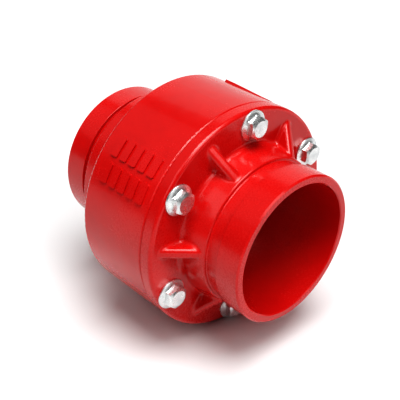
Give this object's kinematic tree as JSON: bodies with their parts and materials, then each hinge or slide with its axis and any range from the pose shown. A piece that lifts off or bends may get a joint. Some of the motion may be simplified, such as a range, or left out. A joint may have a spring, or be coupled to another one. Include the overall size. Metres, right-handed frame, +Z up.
{
  "type": "grooved silent check valve",
  "caption": "Grooved-end silent check valve: round drum body with a ribbed, bolted end cap and a spring-loaded disc that lifts along the flow axis.",
  "frame": {"origin": "on the flow axis, halfway between the two end faces", "axes": "+X along the flow axis towards the bolted end cap (the inlet); -X is the direction of flow; +Z up as it lies in the picture"},
  "size_m": [0.147, 0.1364, 0.1364],
  "materials": {
    "valve_red": "glossy red epoxy coat on cast iron",
    "zinc_plate": "bright zinc plate",
    "stainless": "turned stainless steel",
    "bronze": "turned bronze",
    "seal_rubber": "black moulded rubber"
  },
  "bodies": {
    "housing": {"main_body": "valve_red", "end_cap": "valve_red", "guide_spider": "valve_red", "seat_ring": "bronze", "seat_ring_seal": "seal_rubber", "joint_seal": "seal_rubber", "front_bush": "bronze", "rear_bush": "bronze", "spring_washer": "stainless", "spring": "stainless", "flange_bolt_1": "zinc_plate", "flange_bolt_2": "zinc_plate", "flange_bolt_3": "zinc_plate", "flange_bolt_4": "zinc_plate", "flange_bolt_5": "zinc_plate", "flange_bolt_6": "zinc_plate"},
    "disc_assembly": {"disc": "stainless", "disc_seal": "seal_rubber", "seal_plate": "stainless", "nut_washer": "stainless", "stem_nut": "stainless", "stem": "stainless"}
  },
  "joints": [
    {"name": "disc_lift", "type": "slide", "parent": "housing", "child": "disc_assembly", "axis": [-1, 0, 0], "range_m": [0, 0.018], "stiffness_N_per_m": 1400, "springref_m": -0.012, "deforming": ["spring"]}
  ]
}
